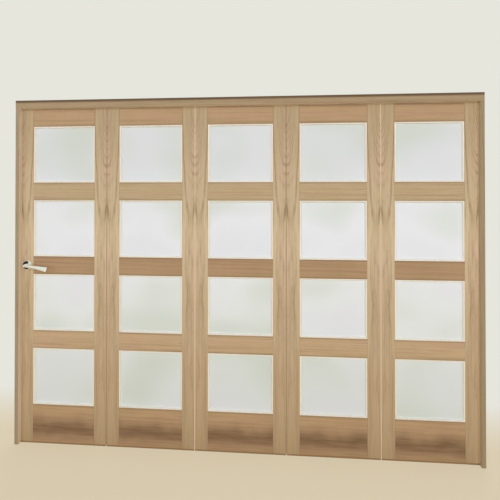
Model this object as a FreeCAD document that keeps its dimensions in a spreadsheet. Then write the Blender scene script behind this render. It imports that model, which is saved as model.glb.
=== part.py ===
import FreeCAD, Part
import math
import os
import re
import Sketcher
from FreeCAD import Vector

# Internal bifold door: five glazed oak leaves in an oak lining, hung from a track in the head.
# X runs along the wall from the outer face of the left jamb, Y from the lever side to the back,
# Z up from the floor. The origin is on the left jamb's outer face, at floor level, mid-depth.

LEAVES = 5
PANES = 4
HINGES = 3
KNUCKLES = 5
HUNG_LEAVES = (2, 4)
OVERCUT = 0.5
NEAR = 0.001
OUTPUT = "parts"

# name, size in millimetres, what it is
SIZES = [
    ("leaf_width", 526, "width of one leaf"),
    ("leaf_height", 1981, "height of one leaf"),
    ("leaf_thick", 35, "thickness of a leaf"),
    ("leaf_gap", 3, "gap beside each leaf"),
    ("floor_gap", 11, "gap under the leaves"),
    ("top_gap", 3, "gap over the leaves"),
    ("stile_width", 75, "face width of a stile"),
    ("top_rail", 104, "face height of the top rail"),
    ("mid_rail", 106, "face height of each middle rail"),
    ("bottom_rail", 221, "face height of the bottom rail"),
    ("leaf_arris", 1.5, "chamfer along a leaf's long edges"),
    ("pane_thick", 6, "thickness of the frosted glass"),
    ("pane_play", 2, "play round a pane behind its beads"),
    ("bead_width", 10, "width of a glazing bead"),
    ("bead_flat", 6, "flat along the outer edge of a bead"),
    ("bead_sink", 2, "how far a bead stays below the leaf's face"),
    ("frame_depth", 94, "depth of the lining through the wall"),
    ("jamb_thick", 23, "thickness of a jamb"),
    ("head_high", 47, "height of the grooved head"),
    ("frame_arris", 1, "chamfer along the lining's front and back edges"),
    ("track_wide", 32, "width of the top track"),
    ("track_high", 28, "height of the top track"),
    ("track_wall", 2.5, "wall of the top track"),
    ("track_slot", 12, "slot along the underside of the track"),
    ("hinge_high", 100, "length of a hinge"),
    ("hinge_deep", 28, "depth of a hinge plate into the seam"),
    ("hinge_inset", 180, "from the end of a leaf to its outer hinges"),
    ("barrel_wide", 10, "diameter of a hinge barrel"),
    ("knuckle_gap", 0.8, "width of the groove between two knuckles"),
    ("knuckle_cut", 0.6, "depth of the groove between two knuckles"),
    ("finial_high", 4, "height of the button at each end of a barrel"),
    ("finial_wide", 7, "diameter of that button"),
    ("carriage_long", 64, "length of a track carriage"),
    ("carriage_wide", 13, "width of a carriage between its wheels"),
    ("carriage_high", 11, "height of a carriage"),
    ("wheel_wide", 17, "diameter of a carriage wheel"),
    ("wheel_thick", 5, "thickness of a carriage wheel"),
    ("wheel_base", 40, "distance between a carriage's axles"),
    ("axle_wide", 5, "diameter of an axle"),
    ("hanger_pin", 8, "diameter of a hanger's pin"),
    ("foot_long", 44, "length of a foot plate"),
    ("foot_wide", 26, "width of a foot plate"),
    ("foot_thick", 2, "thickness of a foot plate"),
    ("block_play", 0.3, "play round the pivot block in the track"),
    ("pivot_pin", 10, "diameter of the pin in the floor pivot"),
    ("pivot_play", 0.2, "play of that pin in its bore"),
    ("pivot_bite", 20, "how far that pin enters the leaf"),
    ("pivot_collar", 18, "diameter of the collar under the leaf"),
    ("upstand_high", 45, "height of the floor pivot's upstand on the jamb"),
    ("rose_wide", 57, "diameter of a handle rose"),
    ("rose_thick", 9, "thickness of a handle rose"),
    ("rose_round", 3, "radius round a rose's rim"),
    ("shank_wide", 19, "diameter of the lever's shank in its rose"),
    ("shank_play", 0.3, "running play of the shank in its rose"),
    ("shank_proud", 3, "how far the shank stands out of its rose"),
    ("neck_wide", 15, "diameter of the lever's neck"),
    ("neck_reach", 55, "from the leaf's face to the middle of the grip"),
    ("neck_bend", 13, "radius of the bend from neck to grip"),
    ("grip_length", 150, "from the spindle to the end of the grip"),
    ("grip_root", 15, "height of the grip at the bend"),
    ("grip_middle", 19, "height of the grip half way along"),
    ("grip_end", 31, "height of the grip at its end"),
    ("grip_drop", 12.5, "how far the grip's top edge falls along its length"),
    ("grip_twist", 8, "degrees that the end of the grip leans back"),
    ("grip_slant", 7, "how far the end of the grip leans back"),
    ("root_thick", 14.5, "thickness of the grip at the bend"),
    ("middle_thick", 12.5, "thickness of the grip half way along"),
    ("end_thick", 10, "thickness of the grip at its end"),
    ("root_round", 7, "corner radius of the grip at the bend"),
    ("middle_round", 5.5, "corner radius of the grip half way along"),
    ("end_round", 4, "corner radius of the grip at its end"),
    ("spindle_wide", 8, "side of the square spindle"),
    ("spindle_bite", 20, "how far the spindle enters each neck"),
    ("stile_bore", 22, "bore through the stile for the spindle"),
    ("forend_long", 60, "length of the latch forend and of the strike plate"),
    ("forend_wide", 25, "width of the latch forend and of the strike plate"),
    ("forend_round", 6, "corner radius of the forend and the strike plate"),
    ("forend_thick", 3, "thickness of the latch forend"),
    ("strike_thick", 2, "thickness of the strike plate"),
    ("bolt_wide", 12, "width of the latch bolt"),
    ("bolt_high", 16, "height of the latch bolt"),
    ("bolt_reach", 10, "how far the latch bolt enters the jamb"),
    ("bolt_play", 1.5, "play round the latch bolt in the strike plate"),
]

doc = FreeCAD.newDocument("bifold_door")
sheet = doc.addObject("Spreadsheet::Sheet", "Sizes")
for row, (alias, size, meaning) in enumerate(SIZES, start=1):
    sheet.set(f"A{row}", meaning)
    sheet.set(f"B{row}", str(size))
    sheet.setAlias(f"B{row}", alias)
doc.recompute()


def sized(text):
    """Turns the sheet's own names in a formula into references to its cells."""
    return re.sub(r"[a-z_]+", lambda word: CELLS.get(word.group(), word.group()), text)


CELLS = {alias: f"Sizes.{alias}" for alias, size, meaning in SIZES}

# Formulas that several pieces share
PANE_HIGH = f"((leaf_height - top_rail - bottom_rail - {PANES - 1} * mid_rail) / {PANES})"
PANE_STEP = f"({PANE_HIGH} + mid_rail)"
PANE_WIDE = "(leaf_width - 2 * stile_width)"
LEAF_TOP = "(floor_gap + leaf_height)"
HEAD_UNDER = "(floor_gap + leaf_height + top_gap)"
CLEAR_WIDTH = f"({LEAVES} * leaf_width + {LEAVES + 1} * leaf_gap)"
WHOLE_WIDTH = f"({CLEAR_WIDTH} + 2 * jamb_thick)"
BEAD_HIGH = "(leaf_thick / 2 - pane_thick / 2 - bead_sink)"
HANDLE_X = "(jamb_thick + leaf_gap + stile_width / 2)"
HANDLE_Z = f"(floor_gap + bottom_rail + 2 * {PANE_HIGH} + 1.5 * mid_rail)"
HINGE_STEP = f"((leaf_height - 2 * hinge_inset - hinge_high) / {HINGES - 1})"
GRIP_Y = "(-leaf_thick / 2 - neck_reach)"


def leaf_left(number):
    """Left edge of a leaf, counted from 1 at the lever side of the opening."""
    return f"(jamb_thick + leaf_gap + {number - 1} * (leaf_width + leaf_gap))"


PIVOT_X = f"({leaf_left(LEAVES)} + leaf_width - stile_width / 2)"


def value(formula):
    found = sheet.evalExpression(sized(formula))
    return float(getattr(found, "Value", found))


def bind(item, path, formula):
    item.setExpression(path, sized(formula))


def origin_plane(body, role):
    return next(item for item in body.Origin.OriginFeatures if item.Role == role)


def new_body(label, x="0", y="0", z="0"):
    """A body of its own, placed by three formulas."""
    body = doc.addObject("PartDesign::Body", label)
    body.Label = label
    body.AllowCompound = True
    for axis, formula in (("x", x), ("y", y), ("z", z)):
        bind(body, f"Placement.Base.{axis}", formula)
    return body


def new_sketch(body, role, name, offset="0"):
    """A sketch on one of the body's origin planes, moved along that plane's normal."""
    sketch = body.newObject("Sketcher::SketchObject", name)
    sketch.AttachmentSupport = [(origin_plane(body, role), "")]
    sketch.MapMode = "FlatFace"
    bind(sketch, "AttachmentOffset.Base.z", offset)
    return sketch


def pin_one_way(sketch, kind, geometry, point, formula):
    """Holds one coordinate of a point of the sketch at a formula from the sketch's origin."""
    held = Sketcher.Constraint(kind, -1, 1, geometry, point, value(formula))
    index = sketch.addConstraint(held)
    bind(sketch, f"Constraints[{index}]", formula)


def pin_across(sketch, geometry, point, across):
    pin_one_way(sketch, "DistanceX", geometry, point, across)


def pin_point(sketch, geometry, point, across, up):
    """Holds a point of the sketch at two formulas from the sketch's origin."""
    pin_across(sketch, geometry, point, across)
    pin_one_way(sketch, "DistanceY", geometry, point, up)


def draw_outline(sketch, points):
    """A closed outline of straight lines through points given as pairs of formulas."""
    places = [Vector(value(across), value(up), 0) for across, up in points]
    first = sketch.GeometryCount
    count = len(points)
    for index in range(count):
        sketch.addGeometry(Part.LineSegment(places[index], places[(index + 1) % count]), False)
    for index in range(count):
        here = first + index
        after = first + (index + 1) % count
        sketch.addConstraint(Sketcher.Constraint("Coincident", here, 2, after, 1))
    for index, (across, up) in enumerate(points):
        pin_point(sketch, first + index, 1, across, up)


def draw_box(sketch, left, low, wide, high):
    """A rectangle from its lower left corner."""
    right = f"({left} + {wide})"
    top = f"({low} + {high})"
    draw_outline(sketch, [(left, low), (right, low), (right, top), (left, top)])


def draw_circle(sketch, across, up, wide):
    centre = Vector(value(across), value(up), 0)
    index = sketch.addGeometry(Part.Circle(centre, Vector(0, 0, 1), value(wide) / 2), False)
    size = sketch.addConstraint(Sketcher.Constraint("Diameter", index, value(wide)))
    bind(sketch, f"Constraints[{size}]", wide)
    pin_point(sketch, index, 3, across, up)


def draw_soft_box(sketch, left, low, wide, high, radius):
    """A rectangle with round corners, from its lower left corner."""
    west, east = f"({left} + {radius})", f"({left} + {wide} - {radius})"
    south, north = f"({low} + {radius})", f"({low} + {high} - {radius})"
    right, top = f"({left} + {wide})", f"({low} + {high})"
    sides = [(west, low, east, low), (right, south, right, north),
             (east, top, west, top), (left, north, left, south)]
    centres = [(east, south), (east, north), (west, north), (west, south)]
    first = sketch.GeometryCount
    for turn in range(4):
        x1, y1, x2, y2 = (value(formula) for formula in sides[turn])
        sketch.addGeometry(Part.LineSegment(Vector(x1, y1, 0), Vector(x2, y2, 0)), False)
        middle = Vector(value(centres[turn][0]), value(centres[turn][1]), 0)
        round_corner = Part.Circle(middle, Vector(0, 0, 1), value(radius))
        start = (turn - 1) * math.pi / 2
        sketch.addGeometry(Part.ArcOfCircle(round_corner, start, start + math.pi / 2), False)
    for turn in range(4):
        line, arc = first + 2 * turn, first + 2 * turn + 1
        after = first + (2 * turn + 2) % 8
        sketch.addConstraint(Sketcher.Constraint("Coincident", line, 2, arc, 1))
        sketch.addConstraint(Sketcher.Constraint("Coincident", arc, 2, after, 1))
        pin_point(sketch, line, 1, sides[turn][0], sides[turn][1])
        pin_point(sketch, line, 2, sides[turn][2], sides[turn][3])
        pin_across(sketch, arc, 3, centres[turn][0])


def draw_bend(sketch, start, centre, radius, end):
    """A path of two straight runs at right angles with a round bend between them.

    The first run goes towards -Y from start, the second towards +X, to end.
    """
    corner_x, corner_y = start[0], end[1]
    first_end = (corner_x, centre[1])
    second_start = (centre[0], corner_y)
    points = [Vector(value(x), value(y), 0) for x, y in (start, first_end, second_start, end)]
    run = sketch.addGeometry(Part.LineSegment(points[0], points[1]), False)
    middle = Vector(value(centre[0]), value(centre[1]), 0)
    turn = Part.Circle(middle, Vector(0, 0, 1), value(radius))
    bend = sketch.addGeometry(Part.ArcOfCircle(turn, math.pi, 1.5 * math.pi), False)
    rest = sketch.addGeometry(Part.LineSegment(points[2], points[3]), False)
    sketch.addConstraint(Sketcher.Constraint("Coincident", run, 2, bend, 1))
    sketch.addConstraint(Sketcher.Constraint("Coincident", bend, 2, rest, 1))
    pin_point(sketch, run, 1, *start)
    pin_point(sketch, run, 2, *first_end)
    pin_across(sketch, bend, 3, centre[0])
    pin_point(sketch, rest, 1, *second_start)
    pin_point(sketch, rest, 2, *end)


def pad(body, sketch, length, both_ways=False, reverse=False):
    feature = body.newObject("PartDesign::Pad", "Pad")
    feature.Profile = sketch
    bind(feature, "Length", length)
    feature.Midplane = both_ways
    feature.Reversed = reverse
    sketch.Visibility = False
    return feature


def pocket(body, sketch, length, both_ways=False, reverse=False):
    feature = body.newObject("PartDesign::Pocket", "Pocket")
    feature.Profile = sketch
    bind(feature, "Length", length)
    feature.Midplane = both_ways
    feature.Reversed = reverse
    sketch.Visibility = False
    return feature


def chamfer_along(body, feature, axis, size):
    """Chamfers every straight edge of the feature that runs along an axis."""
    doc.recompute()
    runs = []
    for index, edge in enumerate(feature.Shape.Edges, start=1):
        start, end = (vertex.Point for vertex in edge.Vertexes)
        if (end - start).cross(axis).Length < NEAR:
            runs.append(f"Edge{index}")
    cut = body.newObject("PartDesign::Chamfer", "Arris")
    cut.Base = (feature, runs)
    bind(cut, "Size", size)


def repeat_up(body, step, count, features=None):
    """Repeats features upwards, one step apart, or the whole body where none are named."""
    row = body.newObject("PartDesign::LinearPattern", "Row")
    if features:
        row.Originals = features
    else:
        row.TransformMode = "Whole shape"
    row.Direction = (next(i for i in body.Origin.OriginFeatures if i.Role == "Z_Axis"), [""])
    row.Occurrences = count
    bind(row, "Length", f"({step} * {count - 1})")
    body.Tip = row


def make_stile(label, left):
    """A stile: a square-edged board with its long edges eased."""
    body = new_body(label, x=left, z="floor_gap")
    section = new_sketch(body, "XY_Plane", "Section")
    draw_box(section, "0", "-leaf_thick / 2", "stile_width", "leaf_thick")
    board = pad(body, section, "leaf_height")
    chamfer_along(body, board, Vector(0, 0, 1), "leaf_arris")
    return body


def make_rails(label, left):
    """The five rails of a leaf, between its stiles."""
    body = new_body(label, x=f"({left} + stile_width)", z="floor_gap")
    face = new_sketch(body, "XZ_Plane", "Face")
    draw_box(face, "0", "0", PANE_WIDE, "bottom_rail")
    for index in range(PANES - 1):
        low = f"(bottom_rail + {PANE_HIGH} + {index} * {PANE_STEP})"
        draw_box(face, "0", low, PANE_WIDE, "mid_rail")
    draw_box(face, "0", "(leaf_height - top_rail)", PANE_WIDE, "top_rail")
    pad(body, face, "leaf_thick", both_ways=True)
    return body


def make_panes(label, left):
    """The four frosted panes of a leaf, each behind its beads with a little play."""
    body = new_body(label, x=f"({left} + stile_width)", z="floor_gap")
    face = new_sketch(body, "XZ_Plane", "Face")
    for index in range(PANES):
        low = f"(bottom_rail + {index} * {PANE_STEP} + pane_play)"
        draw_box(face, "pane_play", low, f"({PANE_WIDE} - 2 * pane_play)",
                 f"({PANE_HIGH} - 2 * pane_play)")
    pad(body, face, "pane_thick", both_ways=True)
    return body


def make_beads(label, left):
    """Splayed glazing beads, one ring on each side of every pane."""
    body = new_body(label, x=f"({left} + stile_width)", z="floor_gap")
    face = new_sketch(body, "XZ_Plane", "Blocks", offset="pane_thick / 2")
    draw_box(face, "0", "bottom_rail", PANE_WIDE, PANE_HIGH)
    block = pad(body, face, BEAD_HIGH)
    sight = new_sketch(body, "XZ_Plane", "Sights", offset="pane_thick / 2")
    draw_box(sight, "bead_width", "(bottom_rail + bead_width)",
             f"({PANE_WIDE} - 2 * bead_width)", f"({PANE_HIGH} - 2 * bead_width)")
    splay = pocket(body, sight, BEAD_HIGH, reverse=True)
    bind(splay, "TaperAngle", f"atan((bead_width - bead_flat) / {BEAD_HIGH})")
    repeat_up(body, PANE_STEP, PANES, [block, splay])
    back = body.newObject("PartDesign::Mirrored", "Back")
    back.TransformMode = "Whole shape"
    back.MirrorPlane = (origin_plane(body, "XZ_Plane"), [""])
    body.Tip = back
    return body


def make_jamb(label, left):
    body = new_body(label, x=left)
    section = new_sketch(body, "XY_Plane", "Section")
    draw_box(section, "0", "-frame_depth / 2", "jamb_thick", "frame_depth")
    board = pad(body, section, HEAD_UNDER)
    chamfer_along(body, board, Vector(0, 0, 1), "frame_arris")
    return body


def make_head(label):
    """The head: a deep board with a stopped groove for the track."""
    body = new_body(label, z=HEAD_UNDER)
    section = new_sketch(body, "YZ_Plane", "Section")
    draw_box(section, "-frame_depth / 2", "0", "frame_depth", "head_high")
    board = pad(body, section, WHOLE_WIDTH)
    chamfer_along(body, board, Vector(1, 0, 0), "frame_arris")
    groove = new_sketch(body, "XY_Plane", "Groove")
    draw_box(groove, "jamb_thick", "-track_wide / 2", CLEAR_WIDTH, "track_wide")
    pocket(body, groove, "track_high", reverse=True)
    return body


def make_track(label):
    """The top track: a square channel, slotted along its underside."""
    body = new_body(label, x="jamb_thick", z=HEAD_UNDER)
    section = new_sketch(body, "YZ_Plane", "Section")
    half = "track_wide / 2"
    inner = "(track_wide / 2 - track_wall)"
    lid = "(track_high - track_wall)"
    draw_outline(section, [
        (f"(-{half})", "0"), ("(-track_slot / 2)", "0"), ("(-track_slot / 2)", "track_wall"),
        (f"(-{inner})", "track_wall"), (f"(-{inner})", lid), (inner, lid),
        (inner, "track_wall"), ("(track_slot / 2)", "track_wall"), ("(track_slot / 2)", "0"),
        (f"({half})", "0"), (f"({half})", "track_high"), (f"(-{half})", "track_high"),
    ])
    pad(body, section, CLEAR_WIDTH)
    return body


def make_hidden_hinges(label, seam):
    """Three hinge plates that fill a seam and show no barrel."""
    body = new_body(label, x=seam, z="(floor_gap + hinge_inset)")
    section = new_sketch(body, "XY_Plane", "Plates")
    draw_box(section, "0", "-hinge_deep / 2", "leaf_gap", "hinge_deep")
    pad(body, section, "hinge_high")
    repeat_up(body, HINGE_STEP, HINGES)
    return body


def make_butt_hinges(label, seam):
    """Three butt hinges: plates in the seam and a barrel of five knuckles behind it."""
    body = new_body(label, x=seam, z="(floor_gap + hinge_inset)")
    middle = ("leaf_gap / 2", "(leaf_thick / 2 + barrel_wide / 2)")
    section = new_sketch(body, "XY_Plane", "Plates")
    draw_box(section, "0", "(leaf_thick / 2 - hinge_deep)", "leaf_gap",
             "(hinge_deep + barrel_wide / 2)")
    pad(body, section, "hinge_high")
    barrel = new_sketch(body, "XY_Plane", "Barrel")
    draw_circle(barrel, *middle, "barrel_wide")
    pad(body, barrel, "hinge_high")
    groove = new_sketch(body, "XY_Plane", "Groove",
                        offset=f"(hinge_high / {KNUCKLES} - knuckle_gap / 2)")
    draw_circle(groove, *middle, "(barrel_wide + 2 * knuckle_cut)")
    draw_circle(groove, *middle, "(barrel_wide - 2 * knuckle_cut)")
    cut = pocket(body, groove, "knuckle_gap", reverse=True)
    repeat_up(body, f"(hinge_high / {KNUCKLES})", KNUCKLES - 1, [cut])
    for low in ("-finial_high", "hinge_high"):
        button = new_sketch(body, "XY_Plane", "Button", offset=low)
        draw_circle(button, *middle, "finial_wide")
        pad(body, button, "finial_high")
    repeat_up(body, HINGE_STEP, HINGES)
    return body


def add_foot(body, x):
    """A foot plate screwed to a leaf's top, in the gap over it."""
    foot = new_sketch(body, "XY_Plane", "Foot")
    draw_soft_box(foot, f"({x} - foot_long / 2)", "-foot_wide / 2", "foot_long", "foot_wide",
                  "foot_wide / 5")
    pad(body, foot, "foot_thick")


def make_hangers(label):
    """Wheeled carriages in the track, over the leaves whose free ends run along it."""
    body = new_body(label, z=LEAF_TOP)
    axle_up = "(top_gap + track_wall + wheel_wide / 2)"
    for number in HUNG_LEAVES:
        x = f"({leaf_left(number)} + stile_width / 2)"
        add_foot(body, x)
        pin = new_sketch(body, "XY_Plane", "Pin")
        draw_circle(pin, x, "0", "hanger_pin")
        pad(body, pin, axle_up)
        block = new_sketch(body, "XZ_Plane", "Carriage")
        draw_soft_box(block, f"({x} - carriage_long / 2)", f"({axle_up} - carriage_high / 2)",
                      "carriage_long", "carriage_high", "carriage_high / 4")
        pad(body, block, "carriage_wide", both_ways=True)
        for side in (-1, 1):
            axle_x = f"({x} + {side} * wheel_base / 2)"
            axle = new_sketch(body, "XZ_Plane", "Axle")
            draw_circle(axle, axle_x, axle_up, "axle_wide")
            pad(body, axle, "(carriage_wide + 2 * wheel_thick)", both_ways=True)
            for hand, start in ((False, "carriage_wide / 2"), (True, "-carriage_wide / 2")):
                wheel = new_sketch(body, "XZ_Plane", "Wheel", offset=start)
                draw_circle(wheel, axle_x, axle_up, "wheel_wide")
                pad(body, wheel, "wheel_thick", reverse=hand)
    return body


def make_top_pivot(label):
    """A pivot block clamped in the track, with a pin down to the last leaf's foot plate."""
    body = new_body(label, x=PIVOT_X, z=LEAF_TOP)
    add_foot(body, "0")
    play = "(track_wall + block_play)"
    block = new_sketch(body, "XY_Plane", "Block", offset=f"(top_gap + {play})")
    draw_box(block, "-foot_long / 2", f"(-track_wide / 2 + {play})", "foot_long",
             f"(track_wide - 2 * {play})")
    pad(body, block, f"(track_high - 2 * {play})")
    pin = new_sketch(body, "XY_Plane", "Pin")
    draw_circle(pin, "0", "0", "hanger_pin")
    pad(body, pin, f"(top_gap + {play})")
    return body


def make_floor_pivot(label):
    """A bracket on the floor and the jamb, with a pin up into the last leaf."""
    body = new_body(label, x=PIVOT_X)
    to_jamb = "(stile_width / 2 + leaf_gap)"
    side = new_sketch(body, "XZ_Plane", "Bracket")
    draw_outline(side, [
        ("-foot_long / 2", "0"), (to_jamb, "0"), (to_jamb, "upstand_high"),
        (f"({to_jamb} - foot_thick)", "upstand_high"), (f"({to_jamb} - foot_thick)", "foot_thick"),
        ("-foot_long / 2", "foot_thick"),
    ])
    pad(body, side, "foot_wide", both_ways=True)
    collar = new_sketch(body, "XY_Plane", "Collar")
    draw_circle(collar, "0", "0", "pivot_collar")
    pad(body, collar, "floor_gap")
    pin = new_sketch(body, "XY_Plane", "Pin")
    draw_circle(pin, "0", "0", "pivot_pin")
    pad(body, pin, "(floor_gap + pivot_bite)")
    return body


def make_rose(label):
    """A round rose on the stile's front, bored for the shank, with its rim rounded over."""
    body = new_body(label, x=HANDLE_X, z=HANDLE_Z)
    disc = new_sketch(body, "XZ_Plane", "Disc", offset="leaf_thick / 2")
    draw_circle(disc, "0", "0", "rose_wide")
    plate = pad(body, disc, "rose_thick")
    doc.recompute()
    front = -value("(leaf_thick / 2 + rose_thick)")
    rims = [f"Edge{index}" for index, edge in enumerate(plate.Shape.Edges, start=1)
            if abs(edge.BoundBox.YMin - front) < NEAR and abs(edge.BoundBox.YMax - front) < NEAR]
    rim = body.newObject("PartDesign::Fillet", "Rim")
    rim.Base = (plate, rims)
    bind(rim, "Radius", "rose_round")
    hole = new_sketch(body, "XZ_Plane", "Hole")
    draw_circle(hole, "0", "0", "(shank_wide + 2 * shank_play)")
    pocket(body, hole, "(4 * leaf_thick)", both_ways=True)
    return body


def add_grip_section(body, x, thick, high, corner):
    """A section across the grip, lower and more leaned back the further along it is."""
    share = f"(({x} - neck_bend) / (grip_length - neck_bend))"
    section = new_sketch(body, "YZ_Plane", "Across", offset=x)
    bind(section, "AttachmentOffset.Base.x", GRIP_Y)
    bind(section, "AttachmentOffset.Base.y", f"(grip_root / 2 - grip_drop * {share})")
    bind(section, "AttachmentOffset.Rotation.Angle", f"(-grip_twist * {share})")
    draw_soft_box(section, f"(-{thick} / 2)", f"(-{high})", thick, high, corner)
    return section


def make_lever(label):
    """The front lever: shank, neck and bend, then a grip that flares to a slanted end."""
    body = new_body(label, x=HANDLE_X, z=HANDLE_Z)
    shank = new_sketch(body, "XZ_Plane", "Shank", offset="leaf_thick / 2")
    draw_circle(shank, "0", "0", "shank_wide")
    pad(body, shank, "(rose_thick + shank_proud)")

    path = new_sketch(body, "XY_Plane", "Path")
    start = ("0", "-leaf_thick / 2")
    centre = ("neck_bend", f"({GRIP_Y} + neck_bend)")
    draw_bend(path, start, centre, "neck_bend", ("(2 * neck_bend)", GRIP_Y))
    ring = new_sketch(body, "XZ_Plane", "Neck", offset="leaf_thick / 2")
    draw_circle(ring, "0", "0", "neck_wide")
    neck = body.newObject("PartDesign::AdditivePipe", "Bend")
    neck.Profile = ring
    neck.Spine = (path, [])

    sections = [
        add_grip_section(body, "neck_bend", "root_thick", "grip_root", "root_round"),
        add_grip_section(body, "grip_length / 2", "middle_thick", "grip_middle", "middle_round"),
        add_grip_section(body, "grip_length", "end_thick", "grip_end", "end_round"),
    ]
    grip = body.newObject("PartDesign::AdditiveLoft", "Flare")
    grip.Profile = sections[0]
    grip.Sections = sections[1:]

    top = "(grip_root / 2 - grip_drop)"
    low = f"({top} - grip_end - grip_end * {OVERCUT})"
    high = f"({top} + grip_end * {OVERCUT})"
    slant = new_sketch(body, "XZ_Plane", "Slant")
    draw_outline(slant, [
        (f"(grip_length - grip_slant - grip_slant * {OVERCUT})", low),
        ("(2 * grip_length)", low),
        ("(2 * grip_length)", high),
        (f"(grip_length + grip_slant * {OVERCUT})", high),
    ])
    pocket(body, slant, "(4 * neck_reach)", both_ways=True)

    socket = new_sketch(body, "XZ_Plane", "Socket", offset="leaf_thick / 2")
    draw_box(socket, "-spindle_wide / 2", "-spindle_wide / 2", "spindle_wide", "spindle_wide")
    pocket(body, socket, "spindle_bite", reverse=True)
    return body


def make_twin(label, front):
    """The same piece on the other side of the leaf."""
    twin = doc.addObject("Part::Mirroring", label)
    twin.Label = label
    twin.Source = front
    twin.Normal = Vector(0, 1, 0)
    return twin


def make_spindle(label):
    """The square bar that joins the two levers through the stile."""
    body = new_body(label, x=HANDLE_X, z=HANDLE_Z)
    section = new_sketch(body, "XZ_Plane", "Section")
    draw_box(section, "-spindle_wide / 2", "-spindle_wide / 2", "spindle_wide", "spindle_wide")
    pad(body, section, "(leaf_thick + 2 * spindle_bite)", both_ways=True)
    return body


def draw_plate(sketch, middle):
    """The outline that the forend and the strike plate share."""
    draw_soft_box(sketch, "-forend_wide / 2", f"({middle} - forend_long / 2)", "forend_wide",
                  "forend_long", "forend_round")


def fit_lock_stile(body):
    """Bores the first stile for the spindle and lets the forend into its edge."""
    bore = new_sketch(body, "XZ_Plane", "Bore")
    draw_circle(bore, "stile_width / 2", f"({HANDLE_Z} - floor_gap)", "stile_bore")
    pocket(body, bore, "(2 * leaf_thick)", both_ways=True)
    recess = new_sketch(body, "YZ_Plane", "Recess")
    draw_plate(recess, f"({HANDLE_Z} - floor_gap)")
    pocket(body, recess, "forend_thick", reverse=True)


def fit_pivot_stile(body):
    """Bores the underside of the last stile for the floor pivot's pin."""
    bore = new_sketch(body, "XY_Plane", "Bore")
    draw_circle(bore, "stile_width / 2", "0", "(pivot_pin + 2 * pivot_play)")
    pocket(body, bore, "(pivot_bite + 2 * pivot_play)", reverse=True)


def fit_strike_jamb(body):
    """Lets the strike plate into the left jamb, with a deeper hole for the latch bolt."""
    recess = new_sketch(body, "YZ_Plane", "Recess", offset="jamb_thick")
    draw_plate(recess, HANDLE_Z)
    pocket(body, recess, "strike_thick")
    hole = new_sketch(body, "YZ_Plane", "Hole", offset="jamb_thick")
    draw_bolt(hole, HANDLE_Z, "bolt_play")
    pocket(body, hole, "(bolt_reach + bolt_play)")


def draw_bolt(sketch, middle, play):
    """The outline of the latch bolt, with some play round it."""
    draw_box(sketch, f"(-bolt_wide / 2 - {play})", f"({middle} - bolt_high / 2 - {play})",
             f"(bolt_wide + 2 * {play})", f"(bolt_high + 2 * {play})")


def make_latch(label):
    """The latch: a forend let into the leaf's edge and a bevelled bolt through the gap."""
    body = new_body(label, x="(jamb_thick + leaf_gap)", z=HANDLE_Z)
    plate = new_sketch(body, "YZ_Plane", "Forend")
    draw_plate(plate, "0")
    pad(body, plate, "forend_thick")
    across = new_sketch(body, "XY_Plane", "Bolt")
    tip = "(-leaf_gap - bolt_reach)"
    draw_outline(across, [
        ("0", "bolt_wide / 2"), (f"({tip} + bolt_wide / 2)", "bolt_wide / 2"),
        (tip, "(-bolt_wide / 4)"), (tip, "-bolt_wide / 2"), ("0", "-bolt_wide / 2"),
    ])
    pad(body, across, "bolt_high", both_ways=True)
    return body


def make_strike(label):
    """The strike plate, let into the left jamb opposite the latch."""
    body = new_body(label, x="(jamb_thick - strike_thick)", z=HANDLE_Z)
    plate = new_sketch(body, "YZ_Plane", "Plate")
    draw_plate(plate, "0")
    draw_bolt(plate, "0", "bolt_play")
    pad(body, plate, "strike_thick")
    return body


def make_leaf(number):
    left = leaf_left(number)
    name = f"leaf_{number}"
    first = make_stile(f"{name}_stile_left", left)
    second = make_stile(f"{name}_stile_right", f"({left} + leaf_width - stile_width)")
    return [first, second, make_rails(f"{name}_rails", left),
            make_panes(f"{name}_panes", left), make_beads(f"{name}_beads", left)]


pieces = []
for number in range(1, LEAVES + 1):
    pieces += make_leaf(number)
by_name = {piece.Label: piece for piece in pieces}
fit_lock_stile(by_name["leaf_1_stile_left"])
fit_pivot_stile(by_name[f"leaf_{LEAVES}_stile_right"])

jamb_left = make_jamb("jamb_left", "0")
fit_strike_jamb(jamb_left)
pieces += [
    jamb_left,
    make_jamb("jamb_right", f"({WHOLE_WIDTH} - jamb_thick)"),
    make_head("head"),
    make_track("top_track"),
]
for number in range(1, LEAVES):
    seam = f"({leaf_left(number)} + leaf_width)"
    make_hinges = make_butt_hinges if number % 2 == 0 else make_hidden_hinges
    pieces.append(make_hinges(f"hinges_leaf_{number}_{number + 1}", seam))
last_seam = f"({leaf_left(LEAVES)} + leaf_width)"
pieces.append(make_hidden_hinges(f"hinges_leaf_{LEAVES}_jamb", last_seam))

rose_front = make_rose("rose_front")
lever_front = make_lever("lever_front")
pieces += [
    make_hangers("track_hangers"),
    make_top_pivot("top_pivot"),
    make_floor_pivot("floor_pivot"),
    rose_front,
    make_twin("rose_back", rose_front),
    lever_front,
    make_twin("lever_back", lever_front),
    make_spindle("spindle"),
    make_latch("latch_forend"),
    make_strike("strike_plate"),
]

doc.recompute()

for item in doc.Objects:
    if "Invalid" in item.State or "Error" in item.State:
        raise RuntimeError(f"{item.Label} did not compute: {item.State}")
for piece in pieces:
    if piece.Shape.isNull() or not piece.Shape.isValid() or not piece.Shape.Solids:
        raise RuntimeError(f"{piece.Label} has no sound solid")

os.makedirs(OUTPUT, exist_ok=True)
for piece in pieces:
    piece.Shape.exportStep(f"{OUTPUT}/{piece.Label}.step")
    box = piece.Shape.BoundBox
    print(f"{piece.Label:22s} {len(piece.Shape.Solids)} solids  {piece.Shape.Volume / 1000:10.1f} cm3"
          f"  x {box.XMin:.1f}..{box.XMax:.1f}  y {box.YMin:.1f}..{box.YMax:.1f}"
          f"  z {box.ZMin:.1f}..{box.ZMax:.1f}")
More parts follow.
